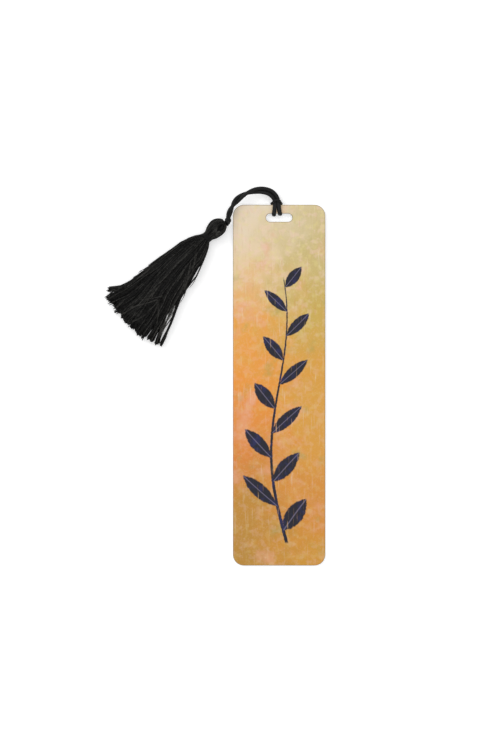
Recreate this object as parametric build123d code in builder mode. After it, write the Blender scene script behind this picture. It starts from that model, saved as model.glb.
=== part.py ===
from build123d import *
import math
import os
import random

# Bookmark lying face up, in millimetres.
# Origin at the middle of the board's back face, +Y towards the slot, +Z out of the printed face.

os.makedirs("parts", exist_ok=True)

# Board
board_width = 38.0
board_length = 148.5
core_thickness = 0.94
coat_thickness = 0.06
corner_radius = 4.5
back_edge_round = 0.15
slot_length = 10.8
slot_width = 3.4
strip_width = 3.6

# Cord: squeezed thin in the hitch, fuller where it lies free
hitch_cord = 1.2
loose_cord = 1.4
board_clearance = 0.1
strand_gap = 0.08
twist_gap = 0.2
fold_room = 0.45
arc_share = 0.45
hitch_x = -1.1

# Knot and the tail below it
knot_radius = 1.25
knot_out = 1.95
knot_down = 6.3
knot_height = 2.0
knot_groove = 0.22
knot_groove_tilt = 38.0
knot_clearance = 0.2
tail_radius = 0.75
stopper_radius = 1.35
stopper_depth = 3.1
yarn_clearance = 0.12

# Tassel head, measured along its axis from the knot's centre
head_heading = 218.0
head_dip = 5.0
head_radius = 3.4
head_length = 8.4
crown_radius = 1.15
head_widest = 4.0
neck_radius = 1.6
throat_length = 1.6
throat_flare = 0.95
eye_radius = 0.8
eye_length = 2.2
eye_aside = 0.45

# Thread wound round the neck
binding_thread = 0.4
binding_pitch = 0.62
binding_turns = 2

# Skirt of loose yarn
skirt_heading = 227.6
slice_radius = 2.0
slice_clearance = 0.42
slice_length = 1.3
skirt_start = 0.65
skirt_columns = 42
skirt_rows = 10
strand_fill = 0.78
strand_jitter = 0.09
hem_middle = 46.6
hem_edge_rise = 4.6
hem_unevenness = 1.1
parted_from = 0.45
parted_share = 0.25
skirt_seed = 7

# Places shared by the pieces
board_thickness = core_thickness + coat_thickness
top_y = board_length / 2
slot_top_y = top_y - strip_width
slot_y = slot_top_y - slot_width / 2
front_z = board_thickness + board_clearance + hitch_cord / 2
back_z = -board_clearance - hitch_cord / 2
over_z = front_z + hitch_cord + strand_gap
over_edge_y = top_y + board_clearance + hitch_cord / 2
slot_pass_y = slot_top_y - hitch_cord / 2 - fold_room
knot_at = Vector(-board_width / 2 - knot_out, top_y - knot_down, board_thickness + knot_height)


def heading(degrees, dip=0.0):
    # Direction in the board's plane, counted from +X, falling by the dip
    turn, fall = math.radians(degrees), math.radians(dip)
    return Vector(math.cos(turn) * math.cos(fall), math.sin(turn) * math.cos(fall), -math.sin(fall))


def corner_radii(points):
    # Tangent arc at each corner, taking up its share of the shorter run
    radii = []
    for before, corner, after in zip(points, points[1:], points[2:]):
        run_in, run_out = corner - before, after - corner
        half_turn = math.radians(run_in.get_angle(run_out)) / 2
        radii.append(arc_share * min(run_in.length, run_out.length) / math.tan(half_turn))
    return radii


def report_tube(name, solid_volume, lines, diameter, radii):
    # Volume against section times length, and every bend radius
    plain_volume = math.pi * diameter**2 / 4 * sum(line.length for line in lines)
    lengths = ", ".join(f"{line.length:.2f}" for line in lines)
    print(f"{name}: length {lengths}, volume {solid_volume:.2f} of {plain_volume:.2f}")
    print("  radii", ", ".join(f"{radius:.2f}" for radius in radii))


def board_outline():
    # Rounded board face with its slot, drawn in the active sketch
    RectangleRounded(board_width, board_length, corner_radius)
    with Locations((0, slot_y)):
        SlotOverall(slot_length, slot_width, mode=Mode.SUBTRACT)


# Stiff sheet, its back edge broken all round
with BuildPart() as board_core:
    with BuildSketch():
        board_outline()
    extrude(amount=core_thickness)
    back_face = board_core.faces().sort_by(Axis.Z)[0]
    fillet(back_face.outer_wire().edges(), radius=back_edge_round)
board_core.part.label = "board_core"
export_step(board_core.part, "parts/board_core.step")

# Printed coat on the face
with BuildPart() as front_print_coat:
    with BuildSketch(Plane.XY.offset(core_thickness)):
        board_outline()
    extrude(amount=coat_thickness)
front_print_coat.part.label = "front_print_coat"
export_step(front_print_coat.part, "parts/front_print_coat.step")

# Lark's head: down the face, through the slot, up the back, over the edge and across the pair
hitch_route = [
    Vector(hitch_x - 1.52, top_y + 2.63, front_z + 0.12),
    Vector(hitch_x - 0.72, top_y + 1.22, front_z),
    Vector(hitch_x - 0.66, top_y - 0.90, front_z),
    Vector(hitch_x - 1.06, slot_pass_y, front_z),
    Vector(hitch_x - 1.18, slot_pass_y, back_z),
    Vector(hitch_x - 1.98, over_edge_y + 0.35, back_z),
    Vector(hitch_x - 2.10, over_edge_y + 0.60, over_z - 0.70),
    Vector(hitch_x - 0.95, top_y + 1.80, over_z + 0.05),
    Vector(hitch_x + 0.85, top_y + 2.00, over_z + 0.05),
    Vector(hitch_x + 2.02, over_edge_y + 0.70, over_z - 0.70),
    Vector(hitch_x + 1.92, over_edge_y + 0.35, back_z),
    Vector(hitch_x + 1.50, slot_pass_y, back_z),
    Vector(hitch_x + 1.39, slot_pass_y, front_z),
    Vector(hitch_x + 0.66, top_y - 0.80, front_z),
    Vector(hitch_x + 0.62, top_y + 1.48, front_z),
    Vector(hitch_x - 0.38, top_y + 3.27, front_z + 0.12),
]
hitch_radii = corner_radii(hitch_route)
with BuildPart() as cord_hitch:
    with BuildLine():
        hitch_line = FilletPolyline(*hitch_route, radius=hitch_radii)
    with BuildSketch(Plane(hitch_line @ 0, z_dir=hitch_line % 0)):
        Circle(hitch_cord / 2)
    sweep()
report_tube("cord_hitch", cord_hitch.part.volume, [hitch_line], hitch_cord, hitch_radii)
cord_hitch.part.label = "cord_hitch"
export_step(cord_hitch.part, "parts/cord_hitch.step")

# Arc of the doubled cord: its middle line and how far the pair has turned at each point
pair_route = [
    (Vector(hitch_x - 1.05, top_y + 3.12, front_z + 0.14), 0),
    (Vector(hitch_x - 1.72, top_y + 4.20, front_z + 0.26), 0),
    (Vector(hitch_x - 3.10, top_y + 5.28, front_z + 0.45), 4),
    (Vector(hitch_x - 5.20, top_y + 5.98, front_z + 0.62), 12),
    (Vector(hitch_x - 7.60, top_y + 6.12, front_z + 0.80), 30),
    (Vector(hitch_x - 9.90, top_y + 5.66, front_z + 0.92), 58),
    (Vector(hitch_x - 12.10, top_y + 4.80, front_z + 1.02), 92),
    (Vector(hitch_x - 14.15, top_y + 3.65, front_z + 1.08), 130),
    (Vector(hitch_x - 15.90, top_y + 2.25, front_z + 1.12), 172),
    (Vector(hitch_x - 17.30, top_y + 0.60, front_z + 1.15), 216),
    (Vector(hitch_x - 18.40, top_y - 1.25, front_z + 1.18), 262),
    (Vector(knot_at.X + 0.60, knot_at.Y + 3.00, knot_at.Z - 0.02), 308),
    (Vector(knot_at.X + 0.20, knot_at.Y + knot_radius + knot_clearance, knot_at.Z), 345),
]


def strand_route(side):
    # One strand's points, half a cord off the pair's middle line and turned with it
    points = []
    places = [place for place, turn in pair_route]
    for index, (place, turn) in enumerate(pair_route):
        ahead = places[min(index + 1, len(places) - 1)] - places[max(index - 1, 0)]
        across = Vector(ahead.Y, -ahead.X, 0).normalized()
        lean = math.radians(turn)
        offset = across * math.cos(lean) + Vector(0, 0, 1) * math.sin(lean)
        points.append(place + offset * side * (loose_cord + twist_gap) / 2)
    return points


twist_lines = []
twist_radii = []
with BuildPart() as cord_twist:
    for side in (1, -1):
        route = strand_route(side)
        bends = corner_radii(route)
        with BuildLine():
            strand_line = FilletPolyline(*route, radius=bends)
        with BuildSketch(Plane(strand_line @ 0, z_dir=strand_line % 0)):
            Circle(loose_cord / 2)
        sweep()
        twist_lines.append(strand_line)
        twist_radii += bends
report_tube("cord_twist", cord_twist.part.volume, twist_lines, loose_cord, twist_radii)
cord_twist.part.label = "cord_twist"
export_step(cord_twist.part, "parts/cord_twist.step")

# Overhand knot: a round lump with the two creases of its wrap
with BuildPart() as cord_knot:
    with Locations(knot_at):
        Sphere(knot_radius)
    for tilt in (knot_groove_tilt, -knot_groove_tilt):
        crease = Location(tuple(knot_at), (90 + tilt, 0, head_heading - 90))
        with Locations(crease):
            Torus(knot_radius + knot_groove / 4, knot_groove, mode=Mode.SUBTRACT)
cord_knot.part.label = "cord_knot"
export_step(cord_knot.part, "parts/cord_knot.step")

# Head axis: the profiles are drawn with local X along it and local Y as the radius
head_along = heading(head_heading, head_dip)
crown_at = knot_radius + knot_clearance
head_end = crown_at + head_length
neck_end = head_end + binding_pitch * binding_turns + 2 * binding_thread
stopper_at = crown_at + stopper_depth
head_side = heading(head_heading - 90)
head_plane = Plane(knot_at, x_dir=head_along, z_dir=head_along.cross(head_side))
head_axis = Axis(knot_at, head_along)

with BuildPart() as cord_tail:
    with BuildSketch(head_plane):
        with BuildLine():
            tail_side = Polyline((crown_at, 0), (crown_at, tail_radius), (stopper_at, tail_radius))
            Line(tail_side @ 1, (stopper_at, 0))
            Line((stopper_at, 0), (crown_at, 0))
        make_face()
    revolve(axis=head_axis)
    with Locations(knot_at + head_along * stopper_at):
        Sphere(stopper_radius)
cord_tail.part.label = "cord_tail"
export_step(cord_tail.part, "parts/cord_tail.step")

# Folded yarn above the neck
with BuildPart() as tassel_head:
    with BuildSketch(head_plane):
        with BuildLine():
            crown = (crown_at, crown_radius)
            widest = (crown_at + head_widest, head_radius)
            throat = (head_end, neck_radius)
            Line((crown_at, 0), crown)
            TangentArc(widest, crown, tangent=(-1, 0))
            flank = TangentArc(widest, (head_end - throat_length, neck_radius + throat_flare), tangent=(1, 0))
            TangentArc(flank @ 1, throat, tangent=flank % 1)
            Line(throat, (neck_end, neck_radius))
            Line((neck_end, neck_radius), (neck_end, 0))
            Line((neck_end, 0), (crown_at, 0))
        make_face()
    revolve(axis=head_axis)
    with Locations(knot_at + head_along * stopper_at):
        Sphere(stopper_radius + yarn_clearance, mode=Mode.SUBTRACT)
    with BuildSketch(Plane(knot_at, z_dir=head_along)):
        Circle(tail_radius + yarn_clearance)
    extrude(amount=stopper_at, mode=Mode.SUBTRACT)
    eye_at = knot_at + head_along * stopper_at - head_side * eye_aside
    with BuildSketch(Plane(eye_at, x_dir=head_along, z_dir=head_along.cross(head_side))):
        SlotOverall(eye_length, 2 * eye_radius)
    extrude(amount=2 * head_radius, both=True, mode=Mode.SUBTRACT)
tassel_head.part.label = "tassel_head"
export_step(tassel_head.part, "parts/tassel_head.step")


def winding_point(turn):
    # Place and heading of the thread's middle after so many turns
    radius = neck_radius + yarn_clearance + binding_thread / 2
    angle = 2 * math.pi * turn
    up = head_along.cross(head_side)
    middle = knot_at + head_along * (head_end + binding_thread + binding_pitch * turn)
    place = middle + head_side * radius * math.cos(angle) + up * radius * math.sin(angle)
    around = up * radius * math.cos(angle) - head_side * radius * math.sin(angle)
    return place, (around * 2 * math.pi + head_along * binding_pitch).normalized()


def biarc_middle(start, start_way, end, end_way):
    # Meeting point of two arcs that share a tangent
    span = end - start
    ways = start_way + end_way
    square = 2 * (1 - start_way.dot(end_way))
    across = span.dot(ways)
    reach = (-across + math.sqrt(across**2 + square * span.dot(span))) / square
    return (start + start_way * reach + end - end_way * reach) * 0.5


# Thread wound round the neck, one unbroken tube
quarters = 4 * binding_turns
with BuildPart() as neck_binding:
    with BuildLine():
        first, first_way = winding_point(0)
        lead = Line(first - first_way * binding_thread, first)
        for quarter in range(quarters):
            start, start_way = winding_point(quarter / 4)
            end, end_way = winding_point((quarter + 1) / 4)
            middle = biarc_middle(start, start_way, end, end_way)
            arc = TangentArc(start, middle, tangent=start_way)
            TangentArc(middle, end, tangent=arc % 1)
        Line(end, end + end_way * binding_thread)
    with BuildSketch(Plane(lead @ 0, z_dir=lead % 0)):
        Circle(binding_thread / 2)
    sweep()
turn_steps = 48
middles = [winding_point(step / turn_steps)[0] for step in range(turn_steps * binding_turns + 1)]
apart = []
for index, place in enumerate(middles):
    apart += [(place - other).length for other in middles[index + turn_steps // 2:]]
print(f"neck_binding: least gap to itself {min(apart) - binding_thread:.3f}")
neck_binding.part.label = "neck_binding"
export_step(neck_binding.part, "parts/neck_binding.step")

# Skirt of loose yarn, made lying along its own X axis and then laid beside the board
# Distance from the neck, half width, half thickness and height of the middle
skirt_sections = [
    (0.0, 1.85, 1.85, 1.85),
    (2.5, 4.30, 2.55, 1.80),
    (8.0, 6.60, 2.85, 1.85),
    (20.0, 8.95, 2.90, 1.85),
    (32.0, 11.90, 2.80, 1.75),
    (48.0, 18.60, 2.20, 1.20),
]
neck_at = knot_at + head_along * (neck_end + slice_clearance)
skirt_frame = Plane((neck_at.X, neck_at.Y, 0), x_dir=heading(skirt_heading), z_dir=(0, 0, 1))


def skirt_section(distance):
    # Half width, half thickness and height, straight between the listed sections
    for near, far in zip(skirt_sections, skirt_sections[1:]):
        if distance <= far[0]:
            break
    share = (distance - near[0]) / (far[0] - near[0])
    return [a + (b - a) * share for a, b in zip(near[1:], far[1:])]


def strand_ring(across, layer, distance):
    # Corners of one four-sided strand at a distance from the neck
    half_width, half_thickness, height = skirt_section(distance)
    corners = []
    for wide, thick in ((-1, -1), (1, -1), (1, 1), (-1, 1)):
        y = (across + wide * strand_fill / skirt_columns) * half_width
        z = (layer + thick * strand_fill / skirt_rows) * half_thickness + height
        corners.append(Vector(skirt_start + distance, y, z))
    return corners


def strand(across, layer, end):
    # Flat-sided strand from the neck to its own cut end
    stations = [section[0] for section in skirt_sections if section[0] < end] + [end]
    rings = [strand_ring(across, layer, station) for station in stations]
    faces = [Face(Wire.make_polygon(ring)) for ring in (rings[0], rings[-1])]
    for near, far in zip(rings, rings[1:]):
        for k in range(4):
            quad = [near[k - 1], near[k], far[k], far[k - 1]]
            faces.append(Face(Wire.make_polygon(quad)))
    return Solid(Shell(faces))


chance = random.Random(skirt_seed)
strands = []
for row in range(skirt_rows):
    layer = (2 * row + 1) / skirt_rows - 1
    for column in range(skirt_columns):
        across = (2 * column + 0.5 + row % 2) / skirt_columns - 1
        across += chance.uniform(-1, 1) * strand_jitter / skirt_columns
        end = hem_middle - hem_edge_rise * across**2 + chance.uniform(-1, 1) * hem_unevenness
        parted = across > parted_from and chance.random() < parted_share
        if across**2 + layer**2 < 1 and not parted:
            strands.append(strand(across, layer, end))
print(f"tassel_skirt: {len(strands)} strands")

with BuildPart() as skirt_lying:
    with BuildSketch(Plane((0, 0, skirt_sections[0][3]), z_dir=(1, 0, 0))):
        Circle(slice_radius)
    extrude(amount=slice_length)
    add(strands, clean=False)

with BuildPart() as tassel_skirt:
    add(skirt_lying.part.moved(skirt_frame.location))
tassel_skirt.part.label = "tassel_skirt"
export_step(tassel_skirt.part, "parts/tassel_skirt.step")
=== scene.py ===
import bpy
import math
import numpy as np
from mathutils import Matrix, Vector


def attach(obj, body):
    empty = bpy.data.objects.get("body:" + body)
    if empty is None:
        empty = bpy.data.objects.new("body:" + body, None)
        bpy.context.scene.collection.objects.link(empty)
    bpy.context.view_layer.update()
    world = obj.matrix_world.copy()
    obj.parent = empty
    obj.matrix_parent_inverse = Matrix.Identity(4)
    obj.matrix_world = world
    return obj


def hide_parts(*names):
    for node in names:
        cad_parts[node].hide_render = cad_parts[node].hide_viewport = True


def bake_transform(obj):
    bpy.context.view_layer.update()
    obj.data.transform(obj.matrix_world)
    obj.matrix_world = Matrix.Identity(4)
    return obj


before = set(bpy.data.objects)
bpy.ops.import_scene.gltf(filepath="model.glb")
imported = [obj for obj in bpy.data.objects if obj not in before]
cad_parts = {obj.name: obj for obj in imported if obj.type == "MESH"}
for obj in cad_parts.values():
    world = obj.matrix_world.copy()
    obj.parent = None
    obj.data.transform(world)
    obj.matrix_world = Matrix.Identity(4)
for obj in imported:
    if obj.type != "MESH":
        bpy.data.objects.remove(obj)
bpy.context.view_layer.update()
mm = 0.001  # sizes below are in millimetres
print("frame loaded:", ", ".join(sorted(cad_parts)))


def deselectAll():
    bpy.ops.object.select_all(action="DESELECT")


def faceOutwards():
    # All faces of the active piece
    bpy.ops.object.mode_set(mode="EDIT")
    bpy.ops.mesh.select_all(action="SELECT")
    bpy.ops.mesh.normals_make_consistent(inside=False)
    bpy.ops.object.mode_set(mode="OBJECT")


def addPiece(name, mesh, material):
    mesh.shade_smooth()
    mesh.materials.append(material)
    piece = bpy.data.objects.new(name, mesh)
    bpy.context.scene.collection.objects.link(piece)
    return piece


def paint(red, green, blue):
    # Colour as mixed on screen, 0 to 255, turned linear
    return tuple(((part / 255 + 0.055) / 1.055) ** 2.4 for part in (red, green, blue))


def heading(degrees, dip=0.0):
    # Direction on the table, and how far it dips
    turn, fall = math.radians(degrees), math.radians(dip)
    return Vector((math.cos(turn) * math.cos(fall), math.sin(turn) * math.cos(fall), -math.sin(fall)))


# Node helpers

class Wire:
    # A node's output, which can be reckoned with like a number
    def __init__(self, tree, socket):
        self.tree = tree
        self.socket = socket

    def __add__(self, other):
        return calc("ADD", self, other)

    def __sub__(self, other):
        return calc("SUBTRACT", self, other)

    def __rsub__(self, other):
        return calc("SUBTRACT", other, self)

    def __mul__(self, other):
        return calc("MULTIPLY", self, other)

    def __truediv__(self, other):
        return calc("DIVIDE", self, other)

    def __pow__(self, power):
        return calc("POWER", self, power)


def newMaterial(name, colour, roughness, sockets):
    material = bpy.data.materials.new(name)
    material.use_nodes = True
    shader = material.node_tree.nodes["Principled BSDF"]
    for socket, value in {"Base Color": (*colour, 1), "Roughness": roughness, **sockets}.items():
        feed(shader.inputs[socket], value)
    return material, material.node_tree, shader


def feed(socket, value):
    # A wire is plugged in, a plain value is set
    if isinstance(value, Wire):
        value.tree.links.new(value.socket, socket)
    else:
        socket.default_value = value


def addNode(tree, kind, output, inputs=(), **settings):
    # A new node, as the wire of one of its outputs
    made = tree.nodes.new("ShaderNode" + kind)
    for name, value in settings.items():
        setattr(made, name, value)
    for name, value in dict(inputs).items():
        feed(made.inputs[name], value)
    return Wire(tree, made.outputs[output])


def calc(operation, *values):
    # At least one of the values is a wire
    tree = next(value.tree for value in values if isinstance(value, Wire))
    return addNode(tree, "Math", 0, enumerate(values), operation=operation)


def hypotenuse(first, second):
    return calc("SQRT", first ** 2 + second ** 2)


def mixColour(share, first, second):
    # Each colour is a wire or a plain tone
    first, second = (tone if isinstance(tone, Wire) else (*tone, 1) for tone in (first, second))
    return addNode(share.tree, "Mix", 2, {0: share, 6: first, 7: second}, data_type="RGBA")


def fade(value, low, high):
    # 0 at low, 1 at high, eased between
    return addNode(value.tree, "MapRange", 0, {"Value": value, "From Min": low, "From Max": high},
                   interpolation_type="SMOOTHSTEP")


def spreadOut(value, low, high, start=0.0, end=1.0):
    # Low at start, high at end, straight between
    return addNode(value.tree, "MapRange", 0, {"Value": value, "From Min": start, "From Max": end,
                                               "To Min": low, "To Max": high})


def glaze(colour, mask, low, high, share, tone):
    # A share of another tone where the mask rises from low to high
    return mixColour(fade(mask, low, high) * share, colour, tone)


def mapped(place, **changes):
    return addNode(place.tree, "Mapping", "Vector", {"Vector": place, **changes})


def noise(place, scale, detail=3.0, rough=0.55):
    return addNode(place.tree, "TexNoise", "Fac",
                   {"Vector": place, "Scale": scale, "Detail": detail, "Roughness": rough})


def ramp(value, stops):
    made = addNode(value.tree, "ValToRGB", "Color", {"Fac": value})
    elements = made.socket.node.color_ramp.elements
    while len(elements) < len(stops):
        elements.new(0.5)
    for element, (position, colour) in zip(elements, stops):
        element.position = position
        element.color = (*paint(*colour), 1)
    return made


def dressShader(shader, colour, satin, height, bump):
    # Colour, roughness and relief; bump is its strength and depth
    relief = addNode(height.tree, "Bump", "Normal",
                     {"Height": height, "Strength": bump[0], "Distance": bump[1] * mm})
    for socket, value in (("Base Color", colour), ("Roughness", satin), ("Normal", relief)):
        feed(shader.inputs[socket], value)


def seenRays(tree):
    # 1 where the camera looks, or a mirror or glass does
    direct, mirrored, through = (addNode(tree, "LightPath", f"Is {kind} Ray")
                                 for kind in ("Camera", "Glossy", "Transmission"))
    return calc("MAXIMUM", calc("MAXIMUM", direct, mirrored), through)


# Camera straight above the face, the frame 308.8 mm tall

cameraSetup = {"middle": (-12.0, 4.18), "tall": 308.8, "lens": 100, "sensor": 36, "face": 1.0}

v = cameraSetup
deselectAll()
away = v["tall"] * v["lens"] / v["sensor"] + v["face"]
bpy.ops.object.camera_add(location=[part * mm for part in (*v["middle"], away)])
camera = bpy.context.object
camera.name = "camera"
camera.data.lens = v["lens"]
camera.data.sensor_width = v["sensor"]
bpy.context.scene.camera = camera
bpy.context.scene.view_settings.view_transform = "Standard"
print("camera at", round(away), "mm")

# Soft light from overhead and a weaker one from the top left

lightSetup = {
    "overhead": {"place": (60, 120, 1150), "size": 1400, "power": 6.8},
    "slant": {"place": (-620, 520, 700), "size": 500, "power": 3.2},
    "worldStrength": 0.45,
}

for lampName in ("overhead", "slant"):
    lamp = lightSetup[lampName]
    place = Vector(lamp["place"]) * mm
    deselectAll()
    bpy.ops.object.light_add(type="AREA", location=place)
    light = bpy.context.object
    light.name = lampName
    light.data.size = lamp["size"] * mm
    light.data.energy = lamp["power"]
    light.rotation_euler = (-place).to_track_quat("-Z", "Y").to_euler()

world = bpy.data.worlds.new("studio")
bpy.context.scene.world = world
world.use_nodes = True
skyTree = world.node_tree
sky = skyTree.nodes["Background"]
feed(sky.inputs["Color"], (1, 1, 1, 1))
feed(sky.inputs["Strength"], spreadOut(seenRays(skyTree), lightSetup["worldStrength"], 1.0))

# The board rests on its lower edge and on the hitch, so the floor leans by half a degree in its frame

floorSetup = {"wide": 4000, "low": (-74.25, -0.03), "high": (72.0, -1.38), "grey": 0.78, "lift": 0.40,
              "fadeFrom": 0.35, "fadeTo": 1.5}

f = floorSetup
deselectAll()
(lowY, lowZ), (highY, highZ) = f["low"], f["high"]
lean = (highZ - lowZ) / (highY - lowY)
bpy.ops.mesh.primitive_plane_add(size=f["wide"] * mm, location=(0, 0, (lowZ - lean * lowY) * mm))
floor = bpy.context.object
floor.name = "floor"
floor.rotation_euler = (math.atan(lean), 0, 0)
bpy.ops.object.transform_apply()
floorPaint, floorTree, floorShader = newMaterial("paleFloor", (f["grey"],) * 3, 1.0,
                                                 {"Specular IOR Level": 0.0, "Emission Color": (1, 1, 1, 1)})
floorPlace = addNode(floorTree, "TexCoord", "Object")
fromMiddle = addNode(floorTree, "VectorMath", "Value", {"Vector": floorPlace}, operation="LENGTH")
lifted = spreadOut(fade(fromMiddle, f["fadeFrom"], f["fadeTo"]), f["lift"], 1.0)
feed(floorShader.inputs["Emission Strength"], seenRays(floorTree) * lifted)
floor.data.materials.append(floorPaint)
print("floor and lights set")

# Board: satin metal core under a printed coat

boardSetup = {
    "width": 38.0, "length": 148.5, "corner": 4.5,
    "slotLength": 10.8, "slotWidth": 3.4, "slotY": 68.95,
}
metalSetup = {
    "tone": (0.62, 0.62, 0.61), "dark": (0.54, 0.54, 0.535), "light": (0.70, 0.70, 0.69),
    # Noise: scale, detail, roughness
    "cloud": (0.5, 0.5, 0.5), "cloudNoise": (60.0, 2.0), "cloudShare": 0.25,
    "strokeScale": (9000, 120, 9000), "strokeNoise": (1.0, 4.0, 0.6),
    "roughness": 0.34, "satin": (0.26, 0.44), "bump": (0.06, 0.05),
}


def brushedMetal():
    m = metalSetup
    material, tree, shader = newMaterial("satinMetal", m["tone"], m["roughness"], {"Metallic": 1.0})
    place = addNode(tree, "TexCoord", "Object")
    strokes = noise(mapped(place, Scale=m["strokeScale"]), *m["strokeNoise"])
    tint = mixColour(strokes, m["dark"], m["light"])
    tint = mixColour(noise(place, *m["cloudNoise"]) * m["cloudShare"], tint, m["cloud"])
    dressShader(shader, tint, spreadOut(strokes, *m["satin"]), strokes, m["bump"])
    return material


# Printed wash with a sprig of leaves; all places on the face in millimetres

washSetup = {
    "leftSide": [(0.0, (184, 134, 50)), (0.14, (192, 136, 50)), (0.30, (218, 132, 54)),
                 (0.50, (234, 148, 54)), (0.68, (230, 162, 72)), (0.82, (228, 200, 156)),
                 (1.0, (229, 214, 190))],
    "rightSide": [(0.0, (206, 146, 46)), (0.14, (212, 138, 52)), (0.32, (216, 154, 62)),
                  (0.54, (216, 158, 64)), (0.70, (202, 170, 84)), (0.84, (202, 182, 120)),
                  (1.0, (212, 194, 150))],
    "rose": paint(240, 206, 190), "lemon": paint(226, 212, 142), "blush": paint(232, 168, 140),
    "moss": paint(166, 158, 88), "chalk": paint(236, 222, 196), "amber": paint(196, 120, 58),
    # Noise that pushes the colours along and across: scale, detail, share
    "pushAlong": (0.045, 3.0, 0.32), "pushAcross": (0.16, 4.0, 1.1), "sideSoft": (-0.4, 0.4),
    # Patches: tone, offset, scale, from, to, share
    "patches": [("blush", (31, 7, 3), 0.085, 0.54, 0.74, 0.55),
                ("moss", (-12, 44, 9), 0.11, 0.56, 0.76, 0.5)], "patchDetail": 4.0,
    # Mottling: tone, offset
    "mottling": [("rose", (5, -21, 14)), ("lemon", (-33, 8, 27))],
    "mottleNoise": (0.36, 2.0), "mottleSoft": (0.50, 0.66), "mottleShare": 0.32,
    "paleSoft": (0.45, 0.85), "paleLeast": 0.4,
    # Dry strokes: tone, turn, scale, detail, roughness, from, to, share
    "strokes": [("chalk", 17, (1.5, 0.07, 1), 5.0, 0.62, 0.57, 0.72, 0.42),
                ("amber", -24, (1.2, 0.09, 1), 4.0, 0.6, 0.58, 0.74, 0.3)],
    # Chalk specks, and the painted shade along the edges: from, to, share
    "specks": (0.5, 0.75, 0.16), "rimShade": (-0.34, -0.08, 0.72), "rimShadeRough": 0.25, "edge": paint(116, 98, 72),
    "speckNoise": (1.4, 3.0, 0.7), "glossScale": 0.5, "reliefNoise": (2.2, 2.0),
    "flat": (0.8, 0.55, 0.25), "roughness": 0.3, "specular": 0.2, "gloss": (0.24, 0.36), "bump": (0.05, 0.04),
}
sprigSetup = {
    "from": -62.0, "to": 54.0, "sway": 4.6, "swayLength": 128.0, "slope": -0.045, "pitch": 20.0,
    "leafLength": 18.0, "leafWidth": 6.4, "leafTurn": 44.0, "leafStart": 2.2, "leafSoft": 0.28,
    "tipShare": 0.6, "firstLeaf": -0.01, "lastLeaf": 0.92, "veinSoft": (0.32, 0.10), "veinShare": 0.6,
    "stem": 0.55, "stemTaper": 1.15, "stemRough": 0.5, "stemSoft": (0.22, -0.1),
    "stemFoot": (-0.03, -0.02), "stemTip": (0.92, 0.90), "ragged": 1.1, "raggedScale": 0.9,
    "navy": paint(7, 8, 28), "violet": paint(26, 28, 76), "vein": paint(120, 112, 140),
    "toneNoise": (0.35, 4.0), "toneSoft": (0.45, 0.7), "drySoft": (0.60, 0.70), "dryShare": 0.55,
}


def sprig(across, along, rough):
    # Alternate leaves on a swaying stem: cover, vein cover
    s = sprigSetup
    reach = s["to"] - s["from"]
    sway = calc("SINE", along * (2 * math.pi / s["swayLength"])) * s["sway"]
    offset = across - sway - along * s["slope"]
    climbed = along - s["from"]
    span = climbed / reach
    half, wide = s["leafLength"] / 2, s["leafWidth"] / 2
    bow = (half * half + wide * wide) / (2 * wide)
    forth, out = math.cos(math.radians(s["leafTurn"])), math.sin(math.radians(s["leafTurn"]))
    cover = vein = 0.0
    for side, start in ((1, 0.0), (-1, 0.5)):
        cell = climbed / s["pitch"] + start
        number = calc("FLOOR", cell)
        rise = (number - start) * s["pitch"] / reach
        size = spreadOut(rise, 1.0, s["tipShare"])
        x = offset * side / size
        y = ((cell - number) * s["pitch"] - s["leafStart"]) / size
        beside = calc("ABSOLUTE", y * out - x * forth)
        gap = hypotenuse(x * out + y * forth - half, beside + (bow - wide))
        leaf = fade(gap - bow + rough, s["leafSoft"], -s["leafSoft"])
        leaf = leaf * calc("GREATER_THAN", rise, s["firstLeaf"]) * calc("LESS_THAN", rise, s["lastLeaf"])
        cover = calc("MAXIMUM", cover, leaf)
        vein = calc("MAXIMUM", vein, leaf * fade(beside, *s["veinSoft"]))
    slim = calc("ABSOLUTE", offset) - (s["stemTaper"] - span) * s["stem"]
    stem = fade(slim + rough * s["stemRough"], *s["stemSoft"])
    ends = fade(span, *s["stemFoot"]) * fade(span, *s["stemTip"])
    return calc("MAXIMUM", cover, stem * ends), vein


def outlineGap(across, along, halfWide, halfLong, corner):
    # Distance inside (negative) or outside a rounded rectangle
    over = [calc("MAXIMUM", calc("ABSOLUTE", place) - (half - corner), 0.0)
            for place, half in ((across, halfWide), (along, halfLong))]
    return hypotenuse(*over) - corner


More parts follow.
